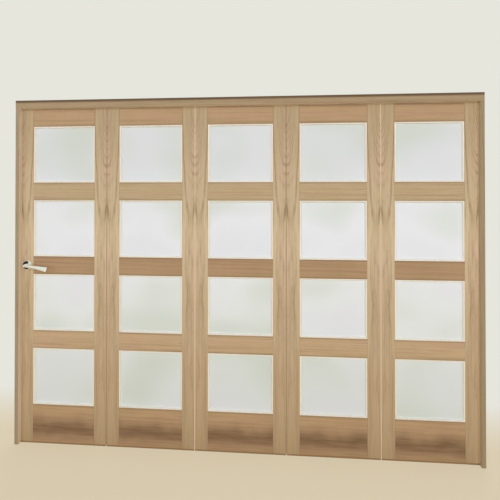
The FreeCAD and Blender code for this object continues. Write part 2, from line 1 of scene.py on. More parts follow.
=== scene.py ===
import math
import bpy
from bpy.props import FloatProperty, FloatVectorProperty, IntProperty
from mathutils import Color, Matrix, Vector


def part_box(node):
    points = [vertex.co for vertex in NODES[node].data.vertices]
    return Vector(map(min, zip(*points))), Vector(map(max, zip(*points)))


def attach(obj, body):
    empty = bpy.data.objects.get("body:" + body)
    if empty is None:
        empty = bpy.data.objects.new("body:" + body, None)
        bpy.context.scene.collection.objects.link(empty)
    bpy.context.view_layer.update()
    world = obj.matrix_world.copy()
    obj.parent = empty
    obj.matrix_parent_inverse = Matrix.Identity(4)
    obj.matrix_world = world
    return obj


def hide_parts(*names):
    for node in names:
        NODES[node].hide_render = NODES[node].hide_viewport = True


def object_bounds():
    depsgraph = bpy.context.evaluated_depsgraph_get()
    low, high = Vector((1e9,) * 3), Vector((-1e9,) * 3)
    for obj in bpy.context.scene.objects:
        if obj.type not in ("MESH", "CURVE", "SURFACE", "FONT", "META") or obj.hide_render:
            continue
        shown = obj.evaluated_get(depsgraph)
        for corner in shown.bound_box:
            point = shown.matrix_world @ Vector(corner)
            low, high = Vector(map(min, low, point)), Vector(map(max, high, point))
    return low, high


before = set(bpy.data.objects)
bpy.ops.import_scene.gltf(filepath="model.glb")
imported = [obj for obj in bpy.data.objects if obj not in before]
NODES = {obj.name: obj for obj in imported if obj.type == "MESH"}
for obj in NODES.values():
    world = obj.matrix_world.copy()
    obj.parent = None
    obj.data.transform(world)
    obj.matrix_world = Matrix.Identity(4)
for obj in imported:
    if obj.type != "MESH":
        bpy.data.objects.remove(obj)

bl_info = {
    "name": "Oak Folding Door Finishes",
    "version": (1, 0, 0),
    "blender": (4, 5, 0),
    "location": "3D View > Sidebar > Folding Door",
    "description": "Oak, frosted glass, metalwork and small fittings for a five-leaf folding door",
    "category": "Object",
}

CAD_LOW, CAD_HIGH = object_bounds()
FIXED = "door_set"
TURNING = "lever"
LEAVES = 5
EACH_LEAF = range(1, LEAVES + 1)
FRONT, BACK = -1, 1
QUARTER_TURN = math.radians(90)

# Seams are counted from the left jamb, 0, to the right jamb. In the lit ones, a cream seal
# and a pale strip on the stiles are a painted highlight. Each seam's figure of the oak lies
# a little higher or lower.
LIT_SEAMS = (2, 4, 5)
SEAM_SEEDS = (0.0, 0.02, -0.015, 0.01, 0.03, -0.02)
RAIL_PITH = 0.95


# Places read from the frame, in metres

def levels(node, axis):
    """The different places of a node's corners along an axis, in order."""
    return sorted({round(vertex.co[axis], 4) for vertex in NODES[node].data.vertices})


def leaf_span(leaf):
    """Places of a leaf's left and right edges."""
    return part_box(f"leaf_{leaf}_stile_left")[0].x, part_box(f"leaf_{leaf}_stile_right")[1].x


def seam_place(seam):
    """Middle of the gap between two leaves, or between a leaf and a jamb."""
    before = leaf_span(seam)[1] if seam > 0 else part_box("jamb_left")[1].x
    after = leaf_span(seam + 1)[0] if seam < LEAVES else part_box("jamb_right")[0].x
    return (before + after) / 2


LEAF_LOW, LEAF_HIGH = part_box("leaf_1_stile_left")[0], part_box("leaf_1_stile_right")[1]
SIGHT_LOW, SIGHT_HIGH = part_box("leaf_1_beads")
PANE_LOW, PANE_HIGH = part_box("leaf_1_panes")
ROSE_LOW, ROSE_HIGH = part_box("rose_front")
HANDLE = (ROSE_LOW + ROSE_HIGH) / 2
PANE_EDGES = levels("leaf_1_panes", 2)
PANE_SPANS = list(zip(PANE_EDGES[0::2], PANE_EDGES[1::2]))
PANE_PLAY = PANE_LOW.z - SIGHT_LOW.z
BEAD_STEPS = [place - SIGHT_LOW.x for place in levels("leaf_1_beads", 0)[:3]]
BEAD_WIDE = BEAD_STEPS[2]
BEAD_FACE = SIGHT_HIGH.y
GLASS_FACE = PANE_HIGH.y


# Settings, whose kinds are colours, lengths, shares and plain numbers

def a_colour(name, shade, description):
    """A colour as it is seen, from 0 to 255 for red, green and blue."""
    seen = tuple(part / 255 for part in shade)
    return FloatVectorProperty(name=name, description=description, default=seen, min=0, max=1,
                               subtype="COLOR_GAMMA", size=3)


def a_length(name, metres, description):
    return FloatProperty(name=name, description=description, default=metres, min=0,
                         subtype="DISTANCE", unit="LENGTH", precision=4)


def a_share(name, share, description):
    return FloatProperty(name=name, description=description, default=share, min=0, max=1,
                         subtype="FACTOR")


def a_number(name, number, description):
    return FloatProperty(name=name, description=description, default=number)


class OakLooks(bpy.types.PropertyGroup):
    """Colours and grain of the oak."""
    # The stiles' colours are paler at mid-height and darker towards the ends as painted shade.
    stile_head: a_colour("Stile head", (182, 158, 126), "A stile near the head")
    stile_middle: a_colour("Stile middle", (207, 184, 152), "A stile over the lever")
    stile_under: a_colour("Stile under lever", (194, 170, 137), "A stile under the lever")
    stile_low: a_colour("Stile low", (186, 161, 126), "A stile over the bottom rail")
    stile_foot: a_colour("Stile foot", (177, 150, 117), "A stile near the floor")
    top_rail: a_colour("Top rail", (181, 150, 115), "The top rail")
    upper_rail: a_colour("Upper rail", (189, 165, 129), "The rail under the top pane")
    handle_rail: a_colour("Handle rail", (174, 143, 108), "The rail at the lever's height")
    lower_rail: a_colour("Lower rail", (194, 165, 130), "The rail over the lowest pane")
    bottom_rail: a_colour("Bottom rail", (186, 154, 117), "The deep rail at the foot")
    heart: a_colour("Heart", (116, 86, 61), "The dark heart figure in the bottom rail")
    # A painted highlight: the pale strip along a leaf's edge in the lit seams.
    seam_highlight: a_colour("Lipping", (226, 204, 172), "The pale strip along a leaf's edge")
    # The beads' cream face and paler foot are a painted highlight and painted light.
    bead: a_colour("Beads", (243, 236, 224), "The glazing beads")
    bead_foot_painted_light: a_colour("Bead foot", (246, 245, 240), "A bead where it meets the glass")
    head: a_colour("Head", (166, 143, 111), "The head of the lining")
    # A painted shadow: the dark band along the head's top edge.
    head_top_shadow: a_colour("Head edge", (98, 76, 52), "The head along its top edge")
    jamb_left: a_colour("Left jamb", (160, 143, 115), "The left jamb's edge")
    jamb_right: a_colour("Right jamb", (158, 138, 107), "The right jamb's edge")
    # Painted light: the inside faces of the lining are paler to lighten their shade.
    lining_face_painted_light: a_colour("Lining face", (241, 221, 192), "The head and left jamb, inside")
    jamb_face_painted_light: a_colour("Jamb face", (198, 178, 146), "The right jamb, inside")
    seam_highlight_width: a_length("Lipping width", 0.0016, "Width of the pale edge strip")
    # A painted shadow: the dark line on a rail beside each bead.
    bead_shadow_width: a_length("Joint width", 0.0120, "Dark line between a rail and a bead")
    bead_shadow_level: a_share("Joint shade", 0.64, "Brightness of the line beside a bead")
    # The last stile pales at the right jamb as painted light over the shadow that the jamb casts.
    painted_light_gain: a_number("Hung edge", 1.5, "How much the last stile pales at its jamb")
    painted_light_width: a_length("Hung edge width", 0.0250, "How far in that stile pales")
    ring_width: a_length("Ring width", 0.0055, "Distance between two growth rings")
    grain: a_share("Grain", 0.55, "How strongly the growth rings show")
    lacquer: a_share("Lacquer roughness", 0.44, "Roughness of the satin lacquer")


class GlassLooks(bpy.types.PropertyGroup):
    """Tints and surface of the frosted panes."""
    # The panes' tints by height are painted shade, darker at top and foot; the clouds are painted
    # light seen through the glass.
    top: a_colour("Top pane", (225, 229, 231), "The top panes")
    upper: a_colour("Upper pane", (242, 245, 250), "The panes over the lever")
    lower: a_colour("Lower pane", (239, 243, 243), "The panes under the lever")
    bottom: a_colour("Bottom pane", (229, 235, 232), "The lowest panes")
    cool: a_colour("Cool cloud", (234, 234, 243), "The faint lavender clouds")
    warm: a_colour("Warm cloud", (205, 213, 196), "The faint green clouds")
    frost: a_share("Frost", 0.5, "Roughness of the etched surface")
    clear: a_share("Clearness", 0.12, "How much light passes through")


class MetalLooks(bpy.types.PropertyGroup):
    """Colours and polish of the metalwork."""
    chrome: a_colour("Chrome", (250, 250, 247), "The levers and roses")
    steel: a_colour("Steel", (190, 190, 188), "Hinges, latch, pivots and spindle")
    aluminium: a_colour("Aluminium", (205, 207, 209), "The top track")
    pin: a_colour("Bead pins", (178, 158, 118), "The pins that hold the beads")
    polish: a_share("Polish", 0.07, "Roughness of the chrome")
    satin: a_share("Satin", 0.32, "Roughness of the steel")


class FittingSizes(bpy.types.PropertyGroup):
    """Sizes and colours of the small fittings."""
    seal_width: a_length("Seal width", 0.0016, "Width of the seal between bead and glass")
    seal_high: a_length("Seal height", 0.0010, "Height of the seal over the glass")
    seal: a_colour("Seal", (250, 249, 246), "The seal between bead and glass")
    brush: a_colour("Brush seal", (172, 145, 111), "The brush at the leaves' edges")
    # A painted highlight: the cream seal in the lit seams.
    edge: a_colour("Edge seal", (226, 206, 174), "The pale seal in the hinged seams")
    # Painted light: a pale seal that lightens the shade at the left jamb and under the head.
    painted_light_seal: a_colour("Lining seal", (232, 208, 174), "The seal against the lining")
    # A brush seal whose dark colour is a painted shadow line under the leaves.
    foot_shadow_brush: a_colour("Foot brush", (150, 117, 79), "The brush under the leaves")
    brush_inset: a_length("Brush inset", 0.0008, "How far the seals lie behind the front")
    brush_play: a_length("Brush play", 0.0020, "Gap between the brush and the floor")
    pin_width: a_length("Pin width", 0.0018, "Diameter of a bead pin's head")
    pins_along: IntProperty(name="Pins along a bead", description="Pins in one bead", default=4,
                            min=2, max=9)
    collar_long: a_length("Collar length", 0.0026, "Length of the ring on the neck")
    collar_wide: a_length("Collar width", 0.0174, "Diameter of the ring on the neck")
    grub_wide: a_length("Grub screw width", 0.0050, "Diameter of the screw in each neck")
    grub_place: a_length("Grub screw place", 0.0110, "From the rose to the grub screw")


class StageLooks(bpy.types.PropertyGroup):
    """Floor, light and camera."""
    floor: a_colour("Floor", (233, 219, 190), "The plain floor")
    backdrop: a_colour("Backdrop", (230, 230, 221), "What is seen behind the door")
    camera_place: FloatVectorProperty(name="Camera place", description="Where the camera stands",
                                      default=(1.7504, -3.2149, 1.4956), subtype="XYZ",
                                      unit="LENGTH", size=3)
    turn: FloatProperty(name="Turn", description="How far the camera turns to the left",
                        default=math.radians(6.187), subtype="ANGLE", unit="ROTATION")
    tilt: FloatProperty(name="Tilt", description="How far the camera looks up",
                        default=math.radians(0.611), subtype="ANGLE", unit="ROTATION")
    lens: a_number("Lens", 40.32, "Focal length in millimetres on a 36 mm sensor")
    shift: a_number("Shift", -0.1275, "Vertical shift of the lens")
    key: a_number("Key light", 1.1, "Strength of the light from the right")
    fill: a_number("Fill light", 0.845, "Strength of the light from the left")
    rear: a_number("Rear light", 1.2, "Strength of the light on the back of the door")
    sky: a_number("Sky", 0.42, "Strength of the even light all round")


def paint(shade):
    """A colour as it is seen, turned into the linear values that a shader takes."""
    return (*Color(shade).from_srgb_to_scene_linear(), 1.0)


def looks(name):
    """The settings of one group, as they stand in the scene."""
    return getattr(bpy.context.scene, f"bifold_{name}")


# Steps of a node tree

def grey(level):
    return (level, level, level, 1.0)


def add_node(tree, kind, feeds=None, **settings):
    """Adds a node, sets its properties, and sets or joins its inputs."""
    made = tree.nodes.new(kind)
    for name, setting in settings.items():
        setattr(made, name, setting)
    for socket, feed in (feeds or {}).items():
        if isinstance(feed, bpy.types.NodeSocket):
            tree.links.new(feed, made.inputs[socket])
        else:
            made.inputs[socket].default_value = feed
    return made


def step(kind, feeds, result=0, **settings):
    """Adds a node to the tree that feeds it, and gives one of its results."""
    sockets = [feed for feed in feeds.values() if isinstance(feed, bpy.types.NodeSocket)]
    return add_node(sockets[0].id_data, kind, feeds, **settings).outputs[result]


def work_out(operation, *feeds, limit=False):
    """The result of a Math node."""
    return step("ShaderNodeMath", dict(enumerate(feeds)), operation=operation, use_clamp=limit)


def plus(first, second):
    return work_out("ADD", first, second)


def minus(first, second):
    return work_out("SUBTRACT", first, second)


def times(first, second):
    return work_out("MULTIPLY", first, second)


def over(first, second):
    return work_out("DIVIDE", first, second)


def square(value):
    return times(value, value)


def swing(source, amount):
    """Turns a value from 0 to 1 into one that swings about zero by an amount."""
    return times(minus(source, 0.5), amount)


def axis_of(place, axis):
    """One coordinate of a place: "X", "Y" or "Z"."""
    return step("ShaderNodeSeparateXYZ", {0: place}, axis)


def spread(value, low, high, first=0.0, last=1.0):
    """Turns the span from low to high into that from first to last, and holds its ends."""
    return step("ShaderNodeMapRange", {
        "Value": value, "From Min": low, "From Max": high, "To Min": first, "To Max": last})


def height_share(where, low, high):
    """How far up a point lies between two heights, from 0 to 1."""
    return spread(axis_of(where, "Z"), low, high)


def noise(where, stretch, detail=3.0, roughness=0.5, offset=(0, 0, 0)):
    """Smooth noise with its own number of waves in a metre along each axis."""
    placed = step("ShaderNodeMapping", {"Vector": where, "Scale": stretch, "Location": offset})
    return step("ShaderNodeTexNoise", {
        "Vector": placed, "Scale": 1.0, "Detail": detail, "Roughness": roughness})


def blend_colours(share, first, second, kind="MIX"):
    return step("ShaderNodeMix", {0: share, 6: first, 7: second}, 2, data_type="RGBA",
                blend_type=kind)


def ramp(share, stops, interpolation="EASE"):
    """A colour ramp from pairs of position and colour, or of position and level of grey."""
    shown = step("ShaderNodeValToRGB", {0: share})
    band = shown.node.color_ramp
    band.interpolation = interpolation
    while len(band.elements) < len(stops):
        band.elements.new(0.5)
    for element, (place, shade) in zip(band.elements, stops):
        element.position = place
        element.color = grey(shade) if isinstance(shade, float) else shade
    return shown


def new_material(name):
    """An empty material, and the object's own coordinates in its tree."""
    material = bpy.data.materials.new(name)
    material.use_nodes = True
    tree = material.node_tree
    tree.nodes.clear()
    where = add_node(tree, "ShaderNodeTexCoord").outputs["Object"]
    return material, where


def finish_material(feeds, height=None, depth=0.0):
    """Joins a Principled shader to the output, with a bump where a height is given."""
    if height is not None:
        bump = {"Height": height, "Strength": 1.0, "Distance": depth}
        feeds = dict(feeds, Normal=step("ShaderNodeBump", bump))
    shader = step("ShaderNodeBsdfPrincipled", feeds)
    add_node(shader.id_data, "ShaderNodeOutputMaterial", {"Surface": shader})


def dress(piece, material):
    """Gives a piece one material and nothing else."""
    piece.data.materials.clear()
    piece.data.materials.append(material)


# Oak

# How a board is cut from its log, in metres. The pith lies behind its face, bows away from
# the height "middle", less so below it, leans about the height "upright", and wanders.
# "flame" is the top of the second figure, and "calm" gives how strongly the years show at
# shares of FIGURE_HIGH.
STILE_CUT = {"pith": 0.11, "bow": 0.144, "middle": 1.28, "below": 0.2, "lean": 0.07,
             "upright": 1.72, "wander": 0.012, "flame": 1.06,
             "calm": [(0.08, 0.3), (0.36, 0.42), (0.6, 0.5), (0.68, 0.6), (0.71, 0.6),
                      (0.735, 0.3), (0.77, 0.4), (0.8, 1.0)]}
RAIL_CUT = {"pith": 0.2, "bow": 0.03, "middle": 0.26, "below": 1.0, "lean": 0.02,
            "upright": 0.0, "wander": 0.05, "flame": None, "calm": [(0.0, 1.0), (1.0, 1.0)]}
FIGURE_HIGH = 2.0
NEAREST_PITH = 0.004
LOWEST_LEAN = -0.45
RING_RIPPLE = 0.009

# The second figure: how far from the seam it lies, how fast it opens, the height of one
# arch and of them all, how far it sways and how dark it is
FLAME = {"aside": 0.036, "opens": 0.0011, "step": 0.09, "long": 0.62, "sway": 0.16,
         "dark": 0.52}
FLAME_LINE = [(0.0, 0.9), (0.25, 0.5), (0.7, 0.25), (0.9, 0.6), (1.0, 0.9)]
FLAME_FADE = [(0.0, 0.0), (0.05, 1.0), (0.35, 0.7), (1.0, 0.0)]

# Ramps over one ring, over the rings with the two dry years, over the pores' noise and
# over the noise that makes the oak a little pinker or yellower
EARLY_WOOD = [(0.0, 0.05), (0.12, 0.0), (0.36, 0.75), (0.62, 1.0), (0.92, 0.85), (1.0, 0.05)]
DRY_RINGS = (15.0, 21.0)
DRY_LINES = [(0.22, 0.0), (0.35, 0.9), (0.48, 0.0), (0.61, 0.0), (0.77, 1.0), (0.93, 0.0)]
DRY_FADE = [(0.63, 0.25), (0.7, 1.0)]
OPEN_PORES = [(0.36, 1.0), (0.43, 0.0)]
BLUSH = [(0.36, (0.985, 1.0, 0.95, 1)), (0.64, (1.015, 0.98, 1.01, 1))]

YEARS_IN_RING = 0.43
LATE_LEVEL, LATE_DARK = 0.2, 0.5
DRY_DARK = 0.6
PORE_DARK, PORE_DULL, PORE_DEEP = 0.2, 0.15, 0.6
PALEST = 1.045
BROWNER = (0.92, 1.06, 1.24)
OAK_DEPTH = 0.00018
SOFT_EDGE = 0.0004

# Heights of the stiles' five colours, and the dark band of the bottom rail, as shares
STILE_PLACES = (0.0, 0.15, 0.4, 0.6, 1.0)
HEART_PROFILE = [(0.0, 0.3), (0.16, 0.42), (0.34, 1.0), (0.46, 0.88), (0.62, 0.38), (0.8, 0.1),
                 (1.0, 0.0)]


def board_axes(where, level, centre, side, seed):
    """Coordinates of a board: across it, through it and along its grain."""
    if level:
        where = step("ShaderNodeMapping", {"Vector": where, "Rotation": (0, -QUARTER_TURN, 0)})
        side = -1
    return step("ShaderNodeMapping", {
        "Vector": where, "Scale": (side, 1, 1), "Location": (-centre * side, 0, seed)})


def growth_rings(board, cut, ring_width):
    """Growth rings round a pith that bows away from the board's face.

    The rings cut the face in nested arches, whose tips point up or down as the pith
    comes nearer or goes away. Returns how many rings lie between the pith and a point.
    """
    across, through, along = (axis_of(board, axis) for axis in "XYZ")
    wander = swing(noise(board, (3, 3, 2.6)), cut["wander"])
    rise = minus(along, cut["middle"])
    above = work_out("MAXIMUM", rise, 0.0)
    below = times(work_out("MINIMUM", rise, 0.0), cut["below"])
    arch = plus(square(above), square(below))
    deep = minus(cut["pith"], times(arch, cut["bow"]))
    deep = plus(plus(deep, wander), through)
    deep = work_out("MAXIMUM", deep, NEAREST_PITH)
    leaning = work_out("MAXIMUM", minus(along, cut["upright"]), LOWEST_LEAN)
    aside = plus(across, times(leaning, cut["lean"]))
    squares = plus(square(deep), square(aside))
    ripple = swing(noise(board, (42, 42, 5)), RING_RIPPLE)
    return over(plus(work_out("SQRT", squares), ripple), ring_width)


def dry_years(rings, height):
    """Two dark rings, left by two dry years, that outline the figure and fade below it."""
    dark = ramp(spread(rings, *DRY_RINGS), DRY_LINES)
    return times(dark, ramp(height, DRY_FADE))


def flame(board, top):
    """Narrow nested arches in the middle of a stile, which point up and fade downwards."""
    aside = minus(axis_of(board, "X"), FLAME["aside"])
    bend = over(square(aside), FLAME["opens"])
    sway = swing(noise(board, (22, 22, 4), detail=2.0), FLAME["sway"])
    fall = minus(minus(top, axis_of(board, "Z")), bend)
    fall = plus(fall, sway)
    lines = ramp(work_out("FRACT", over(fall, FLAME["step"])), FLAME_LINE)
    inside = ramp(over(fall, FLAME["long"]), FLAME_FADE)
    return times(times(lines, inside), FLAME["dark"])


def year_shade(where, board, cut, rings, late):
    """How much paler or darker than the board each of its years is."""
    years = step("ShaderNodeTexNoise", {
        "W": times(rings, YEARS_IN_RING), "Scale": 1.0, "Detail": 2.0}, noise_dimensions="1D")
    patch = noise(board, (26, 26, 5.5), offset=(1.3, 0.2, 4.1))
    strong = times(ramp(patch, [(0.36, 0.15), (0.62, 1.0)]), late)
    lines = times(minus(LATE_LEVEL, strong), LATE_DARK)
    height = height_share(where, 0.0, FIGURE_HIGH)
    figure = ramp(height, cut["calm"])
    shade = times(plus(minus(years, 0.5), lines), figure)
    return minus(shade, times(dry_years(rings, height), DRY_DARK))


def lacquer(node, tone, cut, level=False, centre=0.0, side=1, seed=0.0, grain=None, highlight_at=None):
    """Dresses a node in lacquered oak, with a function that gives the board's own colour.

    A board can have a painted highlight: a pale strip along its edge at a given place on the X
    axis.
    """
    wood = looks("oak")
    strength = wood.grain if grain is None else grain
    material, where = new_material(f"oak_{node}")
    board = board_axes(where, level, centre, side, seed)
    shifted = dict(cut, middle=cut["middle"] + seed, upright=cut["upright"] + seed)
    rings = growth_rings(board, shifted, wood.ring_width)
    early = ramp(work_out("FRACT", rings), EARLY_WOOD)
    late = minus(1.0, early)
    fibre = noise(board, (120, 120, 2.4), detail=6.0, roughness=0.66)
    drift = noise(board, (38, 38, 0.9))
    pores = ramp(noise(board, (1300, 1300, 42), detail=2.0), OPEN_PORES, "LINEAR")
    pores = times(pores, plus(times(late, 0.7), 0.3))

    shade = year_shade(where, board, cut, rings, late)
    if cut["flame"]:
        shade = minus(shade, flame(board, cut["flame"] + seed))
    shade = times(shade, strength)
    for source, share in ((fibre, 0.25 + 1.1 * strength), (drift, 0.05 + 0.6 * strength)):
        shade = plus(shade, swing(source, share))
    shade = work_out("MINIMUM", plus(shade, 1.0), PALEST)
    shade = minus(shade, times(pores, PORE_DARK))

    own = tone(where, board)
    blush = noise(board, (30, 30, 2.6), detail=2.0, offset=(3.7, 1.2, 0.4))
    own = blend_colours(1.0, own, ramp(blush, BLUSH, "LINEAR"), "MULTIPLY")
    # A painted highlight: a pale strip along the board's edge.
    if highlight_at is not None:
        away = work_out("ABSOLUTE", minus(axis_of(where, "X"), highlight_at))
        wide = wood.seam_highlight_width
        share = spread(away, wide - SOFT_EDGE, wide + SOFT_EDGE, 1.0, 0.0)
        own = blend_colours(share, own, paint(wood.seam_highlight))
    browner = [work_out("POWER", shade, power) for power in BROWNER]
    browner = step("ShaderNodeCombineXYZ", dict(enumerate(browner)))
    colour = step("ShaderNodeVectorMath", {0: own, 1: browner}, operation="MULTIPLY")

    sheen = swing(noise(where, (9, 9, 9), detail=2.0), 0.12)
    roughness = plus(plus(sheen, wood.lacquer), times(pores, PORE_DULL))
    height = plus(times(fibre, 0.35), times(early, 0.25))
    height = minus(height, times(pores, PORE_DEEP))
    finish_material({"Base Color": colour, "Roughness": roughness, "IOR": 1.47}, height, OAK_DEPTH)
    dress(NODES[node], material)


def stile_tone(where, board):
    """A stile is palest over the lever and darker towards its ends, in painted shade."""
    wood = looks("oak")
    shades = (wood.stile_foot, wood.stile_low, wood.stile_under,
              wood.stile_middle, wood.stile_head)
    stops = [(place, paint(shade)) for place, shade in zip(STILE_PLACES, shades)]
    return ramp(height_share(where, LEAF_LOW.z, LEAF_HIGH.z), stops)


def stile_tone_with_painted_light(where, board):
    """The stile beside the right jamb pales towards it: painted light over the jamb's shadow."""
    wood = looks("oak")
    share = spread(axis_of(board, "X"), 0.0, wood.painted_light_width, 1.0, 0.0)
    return blend_colours(share, stile_tone(where, board), grey(wood.painted_light_gain), "MULTIPLY")


def bead_shadow_lines(where):
    """Painted shadow lines on the rails, where they meet the beads over and under each pane."""
    wood = looks("oak")
    pitch = PANE_SPANS[1][0] - PANE_SPANS[0][0]
    up = work_out("MAXIMUM", axis_of(where, "Z"), SIGHT_LOW.z - pitch * 0.1)
    panes = work_out("FRACT", over(minus(up, SIGHT_LOW.z), pitch))
    top = (PANE_SPANS[0][1] - PANE_SPANS[0][0] + 2 * PANE_PLAY) / pitch
    line = wood.bead_shadow_width / pitch
    dark = wood.bead_shadow_level
    return ramp(panes, [(top, dark), (top + line, 1.0), (1.0 - line, 1.0), (1.0, dark)], "LINEAR")


def heartwood(where, board):
    """How much dark heartwood shows: a streaked band in the bottom rail that sways."""
    sway = swing(noise(board, (4, 4, 5.2), detail=2.0), 0.5)
    share = plus(height_share(where, LEAF_LOW.z, SIGHT_LOW.z), sway)
    bell = ramp(share, HEART_PROFILE, "B_SPLINE")
    streaks = noise(board, (48, 48, 3.2), detail=4.0, roughness=0.6)
    return times(bell, ramp(streaks, [(0.32, 0.72), (0.62, 1.0)]))


def rail_tone(where, board):
    """Each rail is a board of its own colour, and the bottom one shows dark heartwood."""
    wood = looks("oak")
    shades = (wood.bottom_rail, wood.lower_rail, wood.handle_rail,
              wood.upper_rail, wood.top_rail)
    changes = [LEAF_LOW.z] + [(low + high) / 2 for low, high in PANE_SPANS]
    tall = LEAF_HIGH.z - LEAF_LOW.z
    stops = [((change - LEAF_LOW.z) / tall, paint(shade))
             for change, shade in zip(changes, shades)]
    own = ramp(height_share(where, LEAF_LOW.z, LEAF_HIGH.z), stops, "CONSTANT")
    # Painted shadow lines where the rails meet the beads.
    own = blend_colours(1.0, own, bead_shadow_lines(where), "MULTIPLY")
    return blend_colours(heartwood(where, board), own, paint(wood.heart))


def way_out(where):
    """How far a point lies from the plane in the middle of the door."""
    return work_out("ABSOLUTE", axis_of(where, "Y"))


def lining_tone(where, edge, face):
    """A board of the lining is darker along its edges and paler inside, by painted light."""
    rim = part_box("jamb_left")[1].y
    # Painted light: the faces inside the opening are paler.
    share = spread(way_out(where), rim - 4 * SOFT_EDGE, rim - SOFT_EDGE)
    return blend_colours(share, paint(face), edge)


def jamb_tone(edge, face):
    """The tone of a jamb, from the colours of its edge and of its face."""
    return lambda where, board: lining_tone(where, paint(edge), face)


def head_tone(where, board):
    """The head is darker along its top edge, a painted shadow."""
    wood = looks("oak")
    low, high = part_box("head")
    # The dark band along the top edge is a painted shadow.
    edge = ramp(height_share(where, low.z, high.z), [
        (0.58, paint(wood.head)), (0.8, paint(wood.head_top_shadow))], "LINEAR")
    return lining_tone(where, edge, wood.lining_face_painted_light)


def bead_tone(where, board):
    """A bead's cream face is a painted highlight; its foot by the glass is paler, painted light.
    """
    wood = looks("oak")
    return ramp(spread(way_out(where), GLASS_FACE, BEAD_FACE), [
        (0.5, paint(wood.bead_foot_painted_light)), (0.9, paint(wood.bead))], "LINEAR")


def finish_stiles():
    """Stiles meet in book-matched pairs, so each pair mirrors one figure about its seam."""
    for leaf in EACH_LEAF:
        for edge, side, seam in (("left", 1, leaf - 1), ("right", -1, leaf)):
            node = f"leaf_{leaf}_stile_{edge}"
            low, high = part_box(node)
            # In the lit seams the stile's edge here takes a painted highlight.
            place = low.x if edge == "left" else high.x
            # At the right jamb the stile's tone has painted light over the jamb's shadow.
            lacquer(node, stile_tone_with_painted_light if seam == LEAVES else stile_tone, STILE_CUT,
                    centre=seam_place(seam), side=side, seed=SEAM_SEEDS[seam],
                    highlight_at=place if seam in LIT_SEAMS else None)


def finish_rails():
    for leaf in EACH_LEAF:
        node = f"leaf_{leaf}_rails"
        lacquer(node, rail_tone, RAIL_CUT, level=True, centre=RAIL_PITH,
                seed=0.06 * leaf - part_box(node)[0].x, grain=0.4)


def finish_beads():
    for leaf in EACH_LEAF:
        lacquer(f"leaf_{leaf}_beads", bead_tone, STILE_CUT, centre=leaf * 0.3, seed=leaf,
                grain=0.12)


def finish_lining():
    wood = looks("oak")
    left = jamb_tone(wood.jamb_left, wood.lining_face_painted_light)
    right = jamb_tone(wood.jamb_right, wood.jamb_face_painted_light)
    lacquer("jamb_left", left, STILE_CUT, centre=0.05, seed=0.7, grain=0.4)
    lacquer("jamb_right", right, STILE_CUT, centre=2.6, seed=1.9, grain=0.4)
    lacquer("head", head_tone, RAIL_CUT, level=True, centre=2.2, seed=-1.3, grain=0.5)


# Glass

ETCH_DEPTH = 0.00002


def frosted_glass():
    """Etched glass: nearly white, darker at top and foot in painted shade, with painted faint
    clouds.
    """
    glass = looks("glass")
    material, where = new_material("frosted_glass")
    tall = PANE_HIGH.z - PANE_LOW.z
    tints = (glass.bottom, glass.lower, glass.upper, glass.top)
    stops = [((low + (high - low) * 0.5 - PANE_LOW.z) / tall, paint(tint))
             for (low, high), tint in zip(PANE_SPANS, tints)]
    own = ramp(height_share(where, PANE_LOW.z, PANE_HIGH.z), stops)
    cloud = noise(where, (1.7, 1.7, 2.3), detail=1.0)
    cool = ramp(cloud, [(0.44, 0.0), (0.7, 0.5)])
    warm = ramp(cloud, [(0.3, 0.5), (0.56, 0.0)])
    own = blend_colours(cool, own, paint(glass.cool))
    own = blend_colours(warm, own, paint(glass.warm))
    etched = noise(where, (1600, 1600, 1600), detail=2.0)
    patchy = times(noise(where, (5, 5, 5), detail=2.0), 0.1)
    finish_material({"Base Color": own, "IOR": 1.5, "Transmission Weight": glass.clear,
                     "Roughness": plus(glass.frost - 0.05, patchy)}, etched, ETCH_DEPTH)
    return material


def finish_panes():
    glass = frosted_glass()
    for leaf in EACH_LEAF:
        dress(NODES[f"leaf_{leaf}_panes"], glass)


# Metal and paint

SMUDGE = 0.03
SCRATCH_DEPTH = 0.00003


def metal(name, shade, roughness, brushed=None):
    """A metal with faint smudges, and fine scratches along one axis where it is brushed."""
    material, where = new_material(name)
    cloudy = times(noise(where, (38, 38, 38)), SMUDGE)
    feeds = {"Base Color": paint(shade), "Metallic": 1.0,
             "Roughness": plus(roughness - SMUDGE / 2, cloudy)}
    scratches = noise(where, brushed) if brushed else None
    finish_material(feeds, scratches, SCRATCH_DEPTH)
    return material


def painted(name, shade, roughness):
    """A matt surface with a fine grain."""
    material, where = new_material(name)
    speckle = noise(where, (900, 900, 900), detail=2.0)
    tint = ramp(speckle, [(0.3, paint([part * 0.96 for part in shade])), (0.7, paint(shade))],
                "LINEAR")
    finish_material({"Base Color": tint, "Roughness": roughness}, speckle, SCRATCH_DEPTH)
    return material


# Small pieces, modelled one by one

SMOOTH_ANGLE = math.radians(32)
LEVER_ANGLE = math.radians(30)
SAME_PLACE = 0.000001


def start_alone():
    """Nothing is selected or being edited before a new piece is begun."""
    if bpy.context.object and bpy.context.object.mode != "OBJECT":
        end_edit()
    bpy.ops.object.select_all(action="DESELECT")


def edit_all():
    """Begins to edit the active piece, with all of it selected."""
    bpy.ops.object.mode_set(mode="EDIT")
    bpy.ops.mesh.select_all(action="SELECT")


def end_edit():
    bpy.ops.object.mode_set(mode="OBJECT")


def apply_place():
    bpy.ops.object.transform_apply(location=True, rotation=True, scale=True)


def pick_alone(piece):
    start_alone()
    piece.select_set(True)
    bpy.context.view_layer.objects.active = piece


def pick_corners(piece, test):
    """Selects the corners of a piece in edit mode that pass a test of their place."""
    bpy.ops.object.mode_set(mode="EDIT")
    bpy.ops.mesh.select_mode(type="VERT")
    bpy.ops.mesh.select_all(action="DESELECT")
    end_edit()
    for vertex in piece.data.vertices:
        vertex.select = test(vertex.co)
    bpy.ops.object.mode_set(mode="EDIT")


